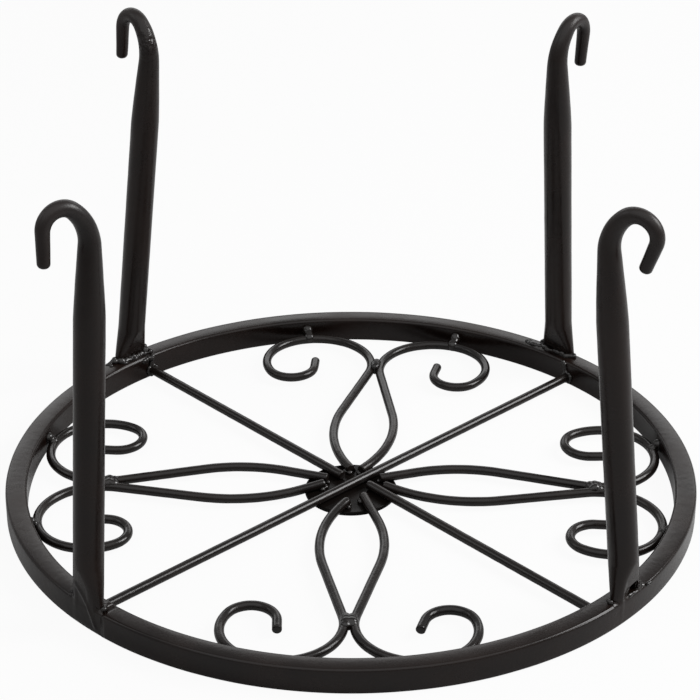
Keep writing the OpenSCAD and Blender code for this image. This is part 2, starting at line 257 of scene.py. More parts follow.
def paint_material(name, tone, roughness, grain, depth, blotch, specular, hooks=False):
    """Glossy dark paint over steel, with an uneven skin and duller places, and on the hooks' crowns
    a painted sheen.

    The grain and the blotches are scales per metre. The hooks' own look goes on the tubes alone.
    """
    material = bpy.data.materials.new(name)
    material.use_nodes = True
    tree = material.node_tree
    link = tree.links.new
    shader = tree.nodes["Principled BSDF"]
    shader.inputs["Specular IOR Level"].default_value = specular
    place = tree.nodes.new("ShaderNodeTexCoord").outputs["Object"]

    broad = speckled(tree, place, blotch, detail=5.0)
    ramp = tree.nodes.new("ShaderNodeValToRGB")
    for stop, position, shares in zip(ramp.color_ramp.elements, BLOTCH_RANGE,
                                      (BLOTCH_DARK, BLOTCH_LIGHT)):
        stop.position = position
        stop.color = tuple(part * share for part, share in zip(tone, shares)) + (1,)
    link(broad, ramp.inputs["Fac"])
    colour = ramp.outputs["Color"]
    dull = mapped(tree, broad, *SHINE_RANGE, *(roughness + change for change in SHINE_CHANGES))
    peel = speckled(tree, place, grain, detail=3.0)
    fine = speckled(tree, place, grain * FINE_GRAIN, detail=2.0)
    height = worked(tree, "Math", "MULTIPLY_ADD", fine, FINE_DEPTH, peel).outputs["Value"]

    if hooks:
        parts = tree.nodes.new("ShaderNodeSeparateXYZ")
        link(place, parts.inputs["Vector"])
        level = parts.outputs["Z"]
        # Painted sheen: the crowns' tops get a paler tone that stands in for the light they reflect
        # from above
        painted_sheen = mapped(tree, level, *SHEEN_PAINT_LEVELS, 0.0, 1.0)
        sheened = worked(tree, "VectorMath", "MULTIPLY_ADD", painted_sheen, SHEEN_PAINT_GAIN, colour)
        colour = sheened.outputs["Vector"]
        drawn = mapped(tree, level, *DULL_LEVELS, 0.0, DULL_GAIN)
        dull = worked(tree, "Math", "ADD", dull, drawn).outputs["Value"]
        away = worked(tree, "VectorMath", "DISTANCE", place, BATTERED).outputs["Value"]
        dented = mapped(tree, away, *BATTERED_FADE, DENT_DEPTH, 0.0)
        dull = worked(tree, "Math", "MULTIPLY_ADD", dented, DENT_SHINE, dull).outputs["Value"]
        dents = speckled(tree, place, DENT_SCALE, detail=2.0)
        height = worked(tree, "Math", "MULTIPLY_ADD", dents, dented, height).outputs["Value"]

    bump = tree.nodes.new("ShaderNodeBump")
    bump.inputs["Strength"].default_value = BUMP_STRENGTH
    bump.inputs["Distance"].default_value = depth
    link(height, bump.inputs["Height"])
    link(colour, shader.inputs["Base Color"])
    link(dull, shader.inputs["Roughness"])
    link(bump.outputs["Normal"], shader.inputs["Normal"])
    return material


tube_paint = paint_material("tube_paint_look", (0.0068, 0.0036, 0.0027), roughness=0.24,
                            grain=260.0, depth=0.00012, blotch=34.0, specular=0.25, hooks=True)
wire_paint = paint_material("wire_paint_look", (0.0085, 0.0066, 0.0060), roughness=0.19,
                            grain=420.0, depth=0.00014, blotch=70.0, specular=0.28)
plate_paint = paint_material("plate_paint_look", (0.0048, 0.0038, 0.0034), roughness=0.24,
                             grain=300.0, depth=0.00012, blotch=60.0, specular=0.06)
weld_paint = paint_material("weld_paint_look", (0.0060, 0.0044, 0.0038), roughness=0.12,
                            grain=600.0, depth=0.00005, blotch=160.0, specular=0.4)

# ---------------------------------------------------------------- rim

RIM_STEPS, SEAM_STEPS, CORNER_STEPS, PROFILE_SPACING = 360, 8, 10, 2.2
# How far the rim and its seam lie inside their solids, and how uneven they are
RIM_SUNK, RIM_UNEVEN, SEAM_SUNK, SEAM_UNEVEN = 0.06, 0.05, 0.24, 0.15
# The length of the unevenness's waves, and its share upwards
RIM_WAVE, UNEVEN_UP = 16, 0.4
# How far the top's edges fall below its middle
RIM_CROWN = 0.3
# At the seam one end of the rim stands higher by a step, and further in by a share of it. Along
# the rim the step fades away over a length
SEAM_STEP, STEP_IN, SEAM_FADE = 0.32, 0.6, 14
# Where the rim's corners were dressed flat beside two of the feet: side, middle and reach, depth
DRESSED = ((1, 311.5, 9.0, 0.14), (-1, 137.5, 9.0, 0.14))


def rim_profile(recess):
    """Points of the rim's outer section: distance from the middle, and height."""
    corner = RIM_CORNER - recess
    outer, inner = RIM_RADIUS - recess - corner, RIM_INNER + recess + corner
    bottom, top = recess + corner, RIM_HEIGHT - recess - corner
    points = []
    for x, z, start in ((outer, bottom, -90), (outer, top, 0),
                        (inner, top, 90), (inner, bottom, 180)):
        for k in range(CORNER_STEPS + 1):
            angle = radians(start + 90 * k / CORNER_STEPS)
            points.append((x + corner * cos(angle), z + corner * sin(angle)))
    dense = []
    for (x0, z0), (x1, z1) in zip(points, points[1:] + points[:1]):
        steps = max(1, round(hypot(x1 - x0, z1 - z0) / PROFILE_SPACING))
        dense += [(x0 + (x1 - x0) * k / steps, z0 + (z1 - z0) * k / steps) for k in range(steps)]
    return dense


def dressed(angle, radius, height):
    """A point of the rim's section, with the corners that were dressed flat."""
    for side, middle, reach, depth in DRESSED:
        share = 1 - ((angle % 360 - middle) / reach) ** 2
        centre = (RIM_INNER + RIM_RADIUS) / 2 + side * (RIM_WIDTH / 2 - RIM_CORNER)
        over = (side * (radius - centre) + height - RIM_HEIGHT + RIM_CORNER) / sqrt(2) - RIM_CORNER
        if share > 0 and over > -depth * sqrt(share):
            cut = (over + depth * sqrt(share)) / sqrt(2)
            radius, height = radius - side * cut, height - cut
    return radius, height


def rim_rings(start, end, steps, recess, swell):
    """Sections of the rim from one angle to another, sunk by the recess and uneven by the swell."""
    profile = rim_profile(recess)
    rings = []
    for k in range(steps + 1):
        angle = start + (end - start) * k / steps
        step = SEAM_STEP * exp(-radians(SEAM_ANGLE + 360 - angle) * RIM_RADIUS / SEAM_FADE)
        if angle < SEAM_ANGLE + HALF_SEAM:
            step = SEAM_STEP * (SEAM_ANGLE + HALF_SEAM - angle) / (2 * HALF_SEAM)
        ring = []
        for radius, height in profile:
            x, y = turned((radius, 0.0), angle)
            uneven = swell * wobble((x, y, height), RIM_WAVE, seed=3.1)
            upper = 2 * height / RIM_HEIGHT - 1
            radius, height = dressed(angle, radius, height)
            sunk = RIM_CROWN * ((radius - RIM_INNER) * 2 / RIM_WIDTH - 1) ** 2 * max(0.0, upper)
            ring.append(turned((radius + uneven - STEP_IN * step, 0.0), angle)
                        + (height + UNEVEN_UP * uneven * upper - sunk + step,))
        rings.append(ring)
    return rings


seam_start, seam_end = SEAM_ANGLE - HALF_SEAM, SEAM_ANGLE + HALF_SEAM
verts, faces = loft(rim_rings(seam_end, SEAM_ANGLE + 360 - HALF_SEAM,
                              RIM_STEPS, RIM_SUNK, RIM_UNEVEN))
add_piece("rim_tube", verts, faces, tube_paint, ["rim"])
verts, faces = loft(rim_rings(seam_start, seam_end, SEAM_STEPS, SEAM_SUNK, SEAM_UNEVEN))
add_piece("rim_seam", verts, faces, tube_paint, ["rim_seam_weld"])

# ---------------------------------------------------------------- legs

LEG_SIDES = 64
# How uneven the tube is, above its foot and on it, its waves' length, and the legs' shift in them
LEG_UNEVEN, FOOT_UNEVEN, LEG_WAVE, LEG_SHIFT = 0.07, 0.03, 6.0, 40
TIP_ROUNDING, TIP_RINGS = 1.8, 9
# How much of the taper's start and end is eased
TAPER_EASE = 0.35
# How far the tube's inside shows above the pressed foot
INSIDE_REACH = 20
# The front right foot is not pressed quite shut: its outer wall stands open over part of its width.
# Which leg, then the opening's middle and half sizes (outwards, along the rim and up), and how much
# taller it gets along the rim
MOUTH_LEG, MOUTH_MIDDLE, MOUTH_HALF, MOUTH_FLARE = 1, (151.9, 1.9, 12.6), (2.4, 4.9, 4.6), 0.16


def at_foot(i, point):
    """A point outwards from a foot's middle, along the rim and above its top, on the stand."""
    x, y = turned((point[0] + FOOT_RADIUS, point[1]), LEG_ANGLES[i])
    return (x, y, point[2] + RIM_HEIGHT) + tuple(point[3:])


class Leg:
    """One leg: its middle line by the distance s along it, and its girth."""

    def __init__(self, i):
        self.i = i
        self.up = 90 + LEG_LEANS[i]
        self.crown = self.up - RISE_TURN
        self.straight = (STAND_HEIGHT - RIM_HEIGHT - CROWN_DIAMETER / 2
                         - bent((0, 0), self.up, RISE_RADIUS, -RISE_TURN)[1]
                         - bent((0, 0), self.crown, CROWN_RADIUS, -self.crown)[1])
        self.straight /= sin(radians(self.up))
        self.rise_end = self.straight + RISE_RADIUS * radians(RISE_TURN)
        self.crest = self.rise_end + CROWN_RADIUS * radians(self.crown)
        self.crown_end = self.rise_end + CROWN_RADIUS * radians(CROWN_TURNS[i])
        self.length = self.crown_end + TIP_LENGTHS[i]

    def aim(self, s):
        if s <= self.straight:
            return self.up
        if s <= self.rise_end:
            return self.up - RISE_TURN * (s - self.straight) / (self.rise_end - self.straight)
        share = min(1, (s - self.rise_end) / (self.crown_end - self.rise_end))
        return self.crown - CROWN_TURNS[self.i] * share

    def place(self, s):
        aim = self.aim(s)
        run = min(s, self.straight)
        spot = (run * cos(radians(self.up)), run * sin(radians(self.up)))
        if s > self.straight:
            spot = bent(spot, self.up, RISE_RADIUS, max(aim, self.crown) - self.up)
        if s > self.rise_end:
            spot = bent(spot, self.crown, CROWN_RADIUS, aim - self.crown)
        if s > self.crown_end:
            spot = straight_run(spot, aim, s - self.crown_end, 1)[0]
        return spot

    def girth(self, s):
        taper = self.straight - TAPER_LENGTH
        if s <= taper:
            return LEG_DIAMETER
        if s <= self.crest:
            share = (s - taper) / (self.crest - taper)
            share = share * share * (3 - 2 * share) * TAPER_EASE + share * (1 - TAPER_EASE)
            return LEG_DIAMETER + (CROWN_DIAMETER - LEG_DIAMETER) * share
        share = min(1, (s - self.crest) / (self.length - self.crest))
        return CROWN_DIAMETER + (TIP_DIAMETER - CROWN_DIAMETER) * share

    def ring(self, s, inset=0.0, rough=0.0):
        """Points round the leg at s, on the stand: inset from its skin, and uneven by rough."""
        place, girth = self.place(s), self.girth(s)
        pressed = max(0.0, 1 - s / FOOT_HEIGHT)
        aim = self.aim(s) + (90 - self.aim(s)) * pressed
        half = girth / 2 + (FOOT_THICKNESS / 2 - girth / 2) * pressed
        flat = pi * (girth / 2 - half) / 2
        size = half - inset
        points = []
        for k in range(LEG_SIDES):
            angle = 2 * pi * (k + 0.5) / LEG_SIDES
            out = size * cos(angle)
            along = size * sin(angle) + (flat if sin(angle) > 0 else -flat)
            if rough:
                skin = (out + LEG_SHIFT * self.i, along, s)
                bump = 1 + rough * wobble(skin, LEG_WAVE, seed=self.i + 0.5) / max(size, 1)
                out, along = out * bump, along * bump
            # The section keeps its direction while the leg's line swings round
            out, along = turned((out, along), -SWINGS[self.i])
            x, z = place[0] + out * sin(radians(aim)), place[1] - out * cos(radians(aim))
            x, y = turned((x, along), SWINGS[self.i])
            y -= z * tan(radians(SIDE_LEAN))
            points.append(at_foot(self.i, (x, y, z)))
        return points


def carved(verts, faces):
    """The points and faces of the front right leg, with the opening in its foot's outer wall."""
    build = bmesh.new()
    bmesh.ops.create_icosphere(build, subdivisions=4, radius=1.0)
    places = []
    for x, y, z in (vertex.co for vertex in build.verts):
        spot = (MOUTH_MIDDLE[0] + x * MOUTH_HALF[0], MOUTH_MIDDLE[1] + y * MOUTH_HALF[1],
                MOUTH_MIDDLE[2] + z * MOUTH_HALF[2] * (1.0 + MOUTH_FLARE * y))
        places.append(turned(spot, LEG_ANGLES[MOUTH_LEG]))
    ball_faces = [tuple(vertex.index for vertex in face.verts) for face in build.faces]
    build.free()
    leg, cutter = mesh_object("leg_work", verts, faces), mesh_object("cutter", places, ball_faces)
    cut = leg.modifiers.new("cut", "BOOLEAN")
    cut.operation, cut.solver, cut.object = "DIFFERENCE", "EXACT", cutter
    points, _, faces = applied(leg)
    discard(leg)
    discard(cutter)
    return [tuple(point) for point in points], faces


def stations(leg):
    """Distances along a leg at which its rings stand, closer where it bends."""
    marks = [0.0]
    for end, steps in ((FOOT_HEIGHT, 12), (leg.straight - TAPER_LENGTH, 24), (leg.straight, 12),
                       (leg.rise_end, 16), (leg.crown_end, 36), (leg.length - TIP_ROUNDING, 8)):
        start = marks[-1]
        marks += [start + (end - start) * k / steps for k in range(1, steps + 1)]
    return marks


def make_leg(i):
    """A leg with a rounded tip, and with its tube's inside showing at the foot."""
    leg = Leg(i)
    rings = [leg.ring(s, 0.0, LEG_UNEVEN if s > FOOT_HEIGHT else FOOT_UNEVEN)
             for s in stations(leg)]
    for k in range(1, TIP_RINGS):
        slope = radians(90 * k / TIP_RINGS)
        rings.append(leg.ring(leg.length - TIP_ROUNDING * (1 - sin(slope)),
                              TIP_ROUNDING * (1 - cos(slope)), LEG_UNEVEN))
    verts, faces = loft(rings)
    faces.remove(tuple(reversed(range(LEG_SIDES))))
    first = len(verts)
    inside = (0, FOOT_HEIGHT / 2, FOOT_HEIGHT, FOOT_HEIGHT + INSIDE_REACH)
    for row, s in enumerate(inside):
        verts += leg.ring(s, LEG_WALL)
        if row:
            low = first + (row - 1) * LEG_SIDES
            faces += inward(wall_between(low, low + LEG_SIDES, LEG_SIDES))
    faces += inward(wall_between(0, first, LEG_SIDES))
    faces.append(tuple(range(len(verts) - LEG_SIDES, len(verts))))
    if i == MOUTH_LEG:
        verts, faces = carved(verts, faces)
    add_piece("tube_leg_" + CORNERS[i], verts, faces, tube_paint,
              ["leg_" + CORNERS[i]])


for i in range(4):
    make_leg(i)

# ---------------------------------------------------------------- rods and bent wires

ROUND_SIDES = 28
# The spacing of rings along a straight, a bend and a wire's last straight
STRAIGHT_SPACING, BEND_SPACING, END_SPACING, ROD_SPACING = 1.5, 1.1, 1.2, 2
# The rounded edge of a cut end: distances from the end, and the wire's girth there
CUT_EDGE = ((0.0, 0.72), (0.12, 0.9), (0.4, 1.0))
# A wire's unevenness and how much thinner it is for that, as shares of its girth, its waves' length
# and how far from its middle they are taken
WIRE_UNEVEN, WIRE_THINNER, WIRE_WAVE, WIRE_SKIN = 0.022, 0.012, 4.0, 2
# How far short of the rim's inner face the rods end
ROD_GAP = 0.02


def wire_path(place, aim, bends, end):
    """Places along level bends, a millimetre or so apart, and the aim at their end."""
    path = [place]
    for straight, radius, turn in bends:
        path += straight_run(path[-1], aim, straight, round(straight / STRAIGHT_SPACING))
        start = path[-1]
        steps = max(4, round(abs(radians(turn)) * radius / BEND_SPACING))
        path += [bent(start, aim, radius, turn * k / steps) for k in range(1, steps + 1)]
        aim += turn
    path += straight_run(path[-1], aim, end, max(1, round(end / END_SPACING)))
    return path, aim


def swept(path, seed):
    """A round wire along a level path, with its cut ends' edges rounded."""
    spots = []
    last = len(path) - 1
    for k, (x, y) in enumerate(path):
        before, after = path[max(k - 1, 0)], path[min(k + 1, last)]
        run = hypot(after[0] - before[0], after[1] - before[1])
        ahead = ((after[0] - before[0]) / run, (after[1] - before[1]) / run)
        if k == 0:
            spots += [(x + back * ahead[0], y + back * ahead[1], ahead, size)
                      for back, size in CUT_EDGE]
        elif k == last:
            spots += [(x - back * ahead[0], y - back * ahead[1], ahead, size)
                      for back, size in reversed(CUT_EDGE)]
        else:
            spots.append((x, y, ahead, 1.0))
    rings = []
    for x, y, ahead, size in spots:
        ring = []
        for k in range(ROUND_SIDES):
            angle = 2 * pi * k / ROUND_SIDES
            side, rise = cos(angle), sin(angle)
            skin = (x + WIRE_SKIN * side * -ahead[1], y + WIRE_SKIN * side * ahead[0],
                    WIRE_SKIN * rise)
            uneven = WIRE_UNEVEN * wobble(skin, WIRE_WAVE, seed)
            reach = WIRE_RADIUS * size * (1 + uneven - WIRE_THINNER)
            ring.append((x - reach * side * ahead[1], y + reach * side * ahead[0],
                         WIRE_LEVEL + reach * rise))
        rings.append(ring)
    return loft(rings)


def on_side(i, points):
    """Points of a petal's pattern, taken to wire i: a pair's first lies on the clockwise side."""
    return [turned((p[0], p[1] if i % 2 else -p[1]) + tuple(p[2:]), PETAL_ANGLES[i // 2])
            for p in points]


def rebent(bends, *changes):
    """Bends whose turns are changed, as by hand."""
    return [(straight, radius, turn + change)
            for (straight, radius, turn), change in zip(bends, changes)]


def wire_line(i):
    """The line of wire i from the hub to the scroll's end, and the aim of its inner end."""
    touch = (PETAL_REACHES[i // 2], TOUCH_OFFSET)
    scroll = rebent(SCROLL_BENDS, SCROLL_CHANGES[i], CURL_CHANGES[i], 0)
    side = rebent(SIDE_BENDS, SIDE_CHANGES[i], END_CHANGES[i])
    outwards, _ = wire_path(touch, 0, scroll, SCROLL_END)
    inwards, aim = wire_path(touch, 180, side, SIDE_ENDS[i])
    return inwards[::-1] + outwards[1:], aim


def rod_line(angle, offset, start, end):
    """Places along a rod that lies at an angle, beside the stand's middle by the offset."""
    steps = round((end - start) / ROD_SPACING)
    return [turned((start + (end - start) * k / steps, offset), angle) for k in range(steps + 1)]


# Each wire's inner end, and a point a millimetre on from it
inner_ends = []
for i, name in enumerate(WIRES):
    line, aim = wire_line(i)
    end = line[0]
    inner_ends.append(on_side(i, [end, (end[0] + cos(radians(aim)), end[1] + sin(radians(aim)))]))
    verts, faces = swept(on_side(i, line), seed=i * 3.7)
    add_piece("wire_" + name, verts, faces, wire_paint, ["scroll_wire_" + name])

wall = RIM_INNER - ROD_GAP
verts, faces = swept(rod_line(LONG_ROD_ANGLE, 0.0, -wall, wall), seed=41.0)
add_piece("rod_long", verts, faces, wire_paint, ["long_rod"])
for name, angle, offset, start in SHORT_RODS:
    wall = sqrt(RIM_INNER ** 2 - offset ** 2) - ROD_GAP
    verts, faces = swept(rod_line(angle, offset, start, wall), seed=angle)
    add_piece("rod_" + name, verts, faces, wire_paint, ["short_rod_" + name])

# ---------------------------------------------------------------- hub disc

HUB_SIDES, HUB_EDGE = 96, 0.5
# How deep the hollows on its top are, and how wide
HUB_HOLLOWS, HUB_WAVE = 0.06, 9

edge = HUB_DIAMETER / 2 - HUB_EDGE
slopes = [radians(slope) for slope in (0, 30, 60, 90)]
profile = [(edge + HUB_EDGE * sin(slope), HUB_EDGE - HUB_EDGE * cos(slope)) for slope in slopes]
profile += [(edge + HUB_EDGE * cos(slope), HUB_THICKNESS - HUB_EDGE + HUB_EDGE * sin(slope))
            for slope in slopes]
profile += [(HUB_DIAMETER / 2 * share, HUB_THICKNESS) for share in (0.8, 0.55, 0.3)]
rings = []
for radius, height in profile:
    ring = []
    for k in range(HUB_SIDES):
        hollow = HUB_HOLLOWS * (1 + wobble((radius, k, 5), HUB_WAVE))
        level = height - (hollow if height == HUB_THICKNESS else 0)
        ring.append(turned((radius, 0.0), 360 * k / HUB_SIDES) + (level,))
    rings.append(ring)
verts, faces = loft(rings)
add_piece("hub_plate", verts, faces, plate_paint, ["hub_disc"])

# ---------------------------------------------------------------- welds

# How strongly and how often the melted drops are smoothed
FLOW_FACTOR, FLOW_ROUNDS = 0.5, 5
# Coarse and fine lumps: their height as a share of the roughness, their waves' length and a seed
LUMPS = ((1.5, 2.2, 7.0), (0.25, 1.0, 2.0))


def weld(name, drops, replaced, voxel=0.28, rough=0.16):
    """One lumpy run of weld metal from drops (x, y, z, radius), melted together."""
    build = bmesh.new()
    for x, y, z, radius in drops:
        place = Matrix.Translation((x * MM, y * MM, z * MM))
        bmesh.ops.create_icosphere(build, subdivisions=3, radius=radius * MM, matrix=place)
    mesh = bpy.data.meshes.new(name + "_drops")
    build.to_mesh(mesh)
    build.free()
    holder = link_object(name + "_drops", mesh)
    melt = holder.modifiers.new("melt", "REMESH")
    melt.mode = "VOXEL"
    melt.voxel_size = voxel * MM
    flow = holder.modifiers.new("flow", "SMOOTH")
    flow.factor, flow.iterations = FLOW_FACTOR, FLOW_ROUNDS
    points, normals, faces = applied(holder)
    discard(holder)
    verts = []
    for point, normal in zip(points, normals):
        push = sum(share * rough * wobble(point, wave, seed) for share, wave, seed in LUMPS)
        verts.append(tuple(point + normal * push))
    add_piece(name, verts, faces, weld_paint, replaced)


def foot_drops(i, corner):
    """Drops of a foot's bead, placed from the foot's middle: along its inner side and both ends."""
    heavy = corner == "back_left"
    count = 9 if heavy else 15
    swell = 0.45 if corner.startswith("back") else 0.2
    drops = []
    for k in range(count):
        share = 2 * k / (count - 1) - 1
        bow = 1 - abs(share) ** 6
        x = -(FOOT_THICKNESS / 2 + 0.6 + 0.35 * spread(i + 9, k)) * bow - 0.3
        drops.append((x, share * (FOOT_HALF + 0.4), 0.15 + 0.4 * spread(i + 5, k),
                      1.5 + swell * spread(i, k) + (0.3 if heavy else 0)))
    if corner == "back_right":
        # A rough patch spilled over the rim's top
        drops += [(-2.6 + 1.5 * spread(2, k), FOOT_HALF + 0.8 + 0.66 * k, -0.4 + 0.3 * spread(6, k),
                   1.3 + 0.35 * spread(4, k)) for k in range(12)]
        # a fillet up the foot's end, and a drop off its other end
        drops += [(0.2, FOOT_HALF + 0.2, 1.6, 1.1), (0.3, FOOT_HALF + 1.2, 0.6, 1.2),
                  (-0.6, -FOOT_HALF - 0.9, 0.3, 1.3)]
    if corner == "back_left":
        # A heavier run that reaches the rim's inner corner
        drops += [(-3.6 + 0.5 * spread(3, k), -FOOT_HALF - 0.4 + 3.1 * k,
                   -0.2 + 0.35 * spread(8, k), 1.75 + 0.35 * spread(1, k)) for k in range(6)]
        # a nub at one end, and a fillet at the other that runs out along the rim
        drops += [(0.6, -FOOT_HALF - 0.9, 1.3, 1.35), (0.2, -FOOT_HALF - 0.4, 0.3, 1.5),
                  (0.3, FOOT_HALF + 0.3, 1.7, 1.1), (0.5, FOOT_HALF + 1.3, 0.5, 1.3),
                  (0.8, FOOT_HALF + 2.7, -0.1, 1.1), (-1.2, FOOT_HALF + 3.8, -0.3, 1.2),
                  (1.0, FOOT_HALF + 4.2, -0.5, 1.0)]
    if corner == "front_right":
        # Spatter on the rim's corner past the foot's open end
        drops += [(2.3, FOOT_HALF + 3.6, -0.7, 0.95), (2.4, FOOT_HALF + 5.2, -0.8, 0.9)]
        # and a lump at the bottom of the opening
        drops += [(1.85, 0.2 + 1.0 * k, -0.5, 1.15 - 0.05 * k) for k in range(4)]
    return drops


for i, corner in enumerate(CORNERS):
    weld("bead_foot_" + corner, [at_foot(i, drop) for drop in foot_drops(i, corner)],
         ["foot_weld_" + corner])

# The front feet are filled and dressed flush with the rim's outer side. The fill follows the foot's
# wall at these distances up it, then the rim's side at these heights
WALL_STATIONS = (13.0, 12.0, 11.0, 10.0, 8.8, 7.6, 6.4, 5.2, 4.0, 2.8, 1.6, 0.5)
SIDE_HEIGHTS = (11.8, 11.4, 11.0, 10.4, 9.6, 8.8, 8.0, 7.2, 6.4, 5.6, 4.8, 4.0, 3.2, 2.5, 1.9,
                1.3, 0.8)
# The station at its top and the height of its bottom, where its skin meets the foot's and the rim's
FLUSH_TOP, FLUSH_BOTTOM = 2, 2.5
# How far it lies under the foot's skin and proud of the rim's there, how fast it sinks past them,
# and how far it lies under the skin at its ends
TOP_SUNK, BOTTOM_PROUD, TOP_FALL, BOTTOM_FALL, END_SUNK = 0.02, 0.01, 0.06, 0.07, 0.06
# How far its curve ends proud of the rim's side
CURVE_PROUD = 0.02
# Its columns, how far they go on at each end, over what length it rises there, and its thickness
FLUSH_COLUMNS, FLUSH_MARGIN, FLUSH_BLEND, FLUSH_DEPTH = 60, 1.2, 4.0, 1.6
# How far it keeps off the ends of the foot's wall, how uneven it is, and its waves' length
WALL_MARGIN, FLUSH_UNEVEN, FLUSH_WAVE = 0.15, 0.04, 3.0
# The soft fold down the front left one: its height, half width and line by the height, and the
# lengths over which it fades at its top and bottom
FOLD_HEIGHT, FOLD_WIDTH, FOLD_LINE, FOLD_FADES = 0.5, 1.0, (7.9, -0.12, -0.0225), (4, 2)
# Each fill: its leg, where it starts and stops along the foot, and whether it has the fold
FLUSHES = ((0, -9.0, 10.2, True), (1, -9.2, -1.6, False))


def wall_sheets(i):
    """A foot's outer wall at each station, from end to end, as (along, outwards, up)."""
    leg = Leg(i)
    sheets = []
    for s in WALL_STATIONS:
        ring = leg.ring(s, 0.0, FOOT_UNEVEN)
        wall = [turned(point, -LEG_ANGLES[i]) for k, point in enumerate(ring)
                if cos(2 * pi * (k + 0.5) / LEG_SIDES) > 0]
        sheets.append(sorted((y, x, z) for x, y, z in wall))
    return sheets


def base_line(sheets, y):
    """The skin that a fill lies on at y along the foot, from the top down, and the rim's side."""
    line = []
    for sheet in sheets:
        held = max(sheet[0][0] + WALL_MARGIN, min(sheet[-1][0] - WALL_MARGIN, y))
        row = next(n for n in range(1, len(sheet)) if sheet[n][0] >= held)
        (y0, x0, z0), (y1, x1, z1) = sheet[row - 1], sheet[row]
        share = (held - y0) / (y1 - y0)
        line.append((x0 + (x1 - x0) * share, held, z0 + (z1 - z0) * share))
    side = sqrt(RIM_RADIUS ** 2 - y ** 2) - RIM_SUNK
    for z in SIDE_HEIGHTS:
        over = max(0.0, z - RIM_HEIGHT + RIM_CORNER, RIM_CORNER - z)
        line.append((side - RIM_CORNER + sqrt(RIM_CORNER ** 2 - over ** 2), y, z))
    return line, side


def flush(i, start, stop, fold):
    """A dressed fill from a foot's outer wall down the rim's side, from start to stop along it."""
    sheets = wall_sheets(i)
    rings = []
    for column in range(FLUSH_COLUMNS + 1):
        reach = stop - start + 2 * FLUSH_MARGIN
        y = start - FLUSH_MARGIN + reach * column / FLUSH_COLUMNS
        full = eased(min(y - start, stop - y) / FLUSH_BLEND)
        line, side = base_line(sheets, y)
        (x_top, _, z_top), (x_next, _, z_next) = line[FLUSH_TOP], line[FLUSH_TOP + 1]
        span = z_top - FLUSH_BOTTOM
        slope = (x_top - x_next) / (z_top - z_next) * span
        outer = []
        for x, along, z in line:
            t = (z_top - z) / span
            if t < 0:
                lift = -TOP_SUNK - TOP_FALL * (z - z_top)
            elif t > 1:
                lift = BOTTOM_PROUD - BOTTOM_FALL * (FLUSH_BOTTOM - z)
            else:
                # A curve that leaves the foot in line with its wall and meets the rim upright
                curve = (x_top - slope * (t ** 3 - 2 * t ** 2 + t)
                         + (side + CURVE_PROUD - x_top) * (3 * t ** 2 - 2 * t ** 3))
                lift = max(curve - x, 0.0) - TOP_SUNK * (1 - t) ** 8 + BOTTOM_PROUD * t
            if fold:
                middle = FOLD_LINE[0] + FOLD_LINE[1] * z + FOLD_LINE[2] * z * z
                fade = max(0.0, min(1.0, (z_top - z) / FOLD_FADES[0],
                                    (z - FLUSH_BOTTOM) / FOLD_FADES[1]))
                lift += FOLD_HEIGHT * exp(-((along - middle) / FOLD_WIDTH) ** 2) * fade
            worn = FLUSH_UNEVEN * wobble((along, z, i), FLUSH_WAVE, seed=5.0)
            lift += worn * max(0.0, min(1.0, 6 * t * (1 - t)))
            outer.append((x + full * lift - END_SUNK * (1 - full), along, z))
        loop = outer + [(x - FLUSH_DEPTH, along, z) for x, along, z in reversed(outer)]
        rings.append([turned(point, LEG_ANGLES[i]) for point in loop])
    return loft(rings)


for i, start, stop, fold in FLUSHES:
    verts, faces = flush(i, start, stop, fold)
    add_piece("flush_" + CORNERS[i], verts, faces, tube_paint,
              ["foot_weld_" + CORNERS[i]])

# The lumpy end of the front right foot's fill, past its open mouth
drops = [(1.0 + 0.2 * spread(1, k), 6.6 + 0.95 * k, -0.9 - 0.12 * k + 0.25 * spread(5, k),
          1.75 - 0.07 * k + 0.2 * spread(9, k)) for k in range(7)]
drops += [(1.25, 7.2 + 1.4 * k + 0.3 * spread(2, k), -2.1 - 0.25 * spread(4, k),
           1.3 + 0.2 * spread(7, k)) for k in range(4)]
drops += [(1.6, 7.0, 1.2, 1.2), (1.2, 7.4, 2.6, 1.0)]
weld("bead_mouth", [at_foot(MOUTH_LEG, drop) for drop in drops], ["foot_weld_front_right"],
     voxel=0.26, rough=0.2)

# The collars where the rods meet the rim: the corner, and the rod's angle and offset
COLLARS = (("front_left", LONG_ROD_ANGLE + 180, 0.0), ("front_right", *SHORT_RODS[1][1:3]),
           ("back_left", *SHORT_RODS[0][1:3]), ("back_right", LONG_ROD_ANGLE, 0.0))
COLLAR_DROPS = 9
for i, (corner, angle, offset) in enumerate(COLLARS):
    reach = sqrt(RIM_INNER ** 2 - offset ** 2)
    drops = []
    for k in range(COLLAR_DROPS):
        turn = 2 * pi * k / COLLAR_DROPS
        drops.append((reach - 0.3, offset + (WIRE_RADIUS + 0.3) * cos(turn),
                      WIRE_LEVEL + (WIRE_RADIUS + 0.2) * sin(turn), 1.1 + 0.25 * spread(i, k)))
    if corner.startswith("back"):
        # A run up the rim's inner wall
        lean = 0.45 if corner == "back_right" else -0.15
        drops += [(reach - 0.25 + 0.15 * spread(i + 2, k),
                   offset + 0.3 + lean * k + 0.5 * spread(i + 7, k),
                   WIRE_LEVEL + 2.6 + 0.9 * k, 1.05 + 0.35 * spread(i, k + 20)) for k in range(6)]
    if corner == "back_left":
        # and on to the rim's inner corner
        drops += [(reach + 0.3, offset - 1.6 + 1.5 * k, RIM_HEIGHT - 0.9 - 0.25 * k,
                   0.95 + 0.35 * spread(3, k)) for k in range(5)]
    drops = [turned((x, y, max(z, radius * 0.9), radius), angle) for x, y, z, radius in drops]
    weld("collar_" + corner, drops, ["rod_weld_" + corner], voxel=0.26, rough=0.12)

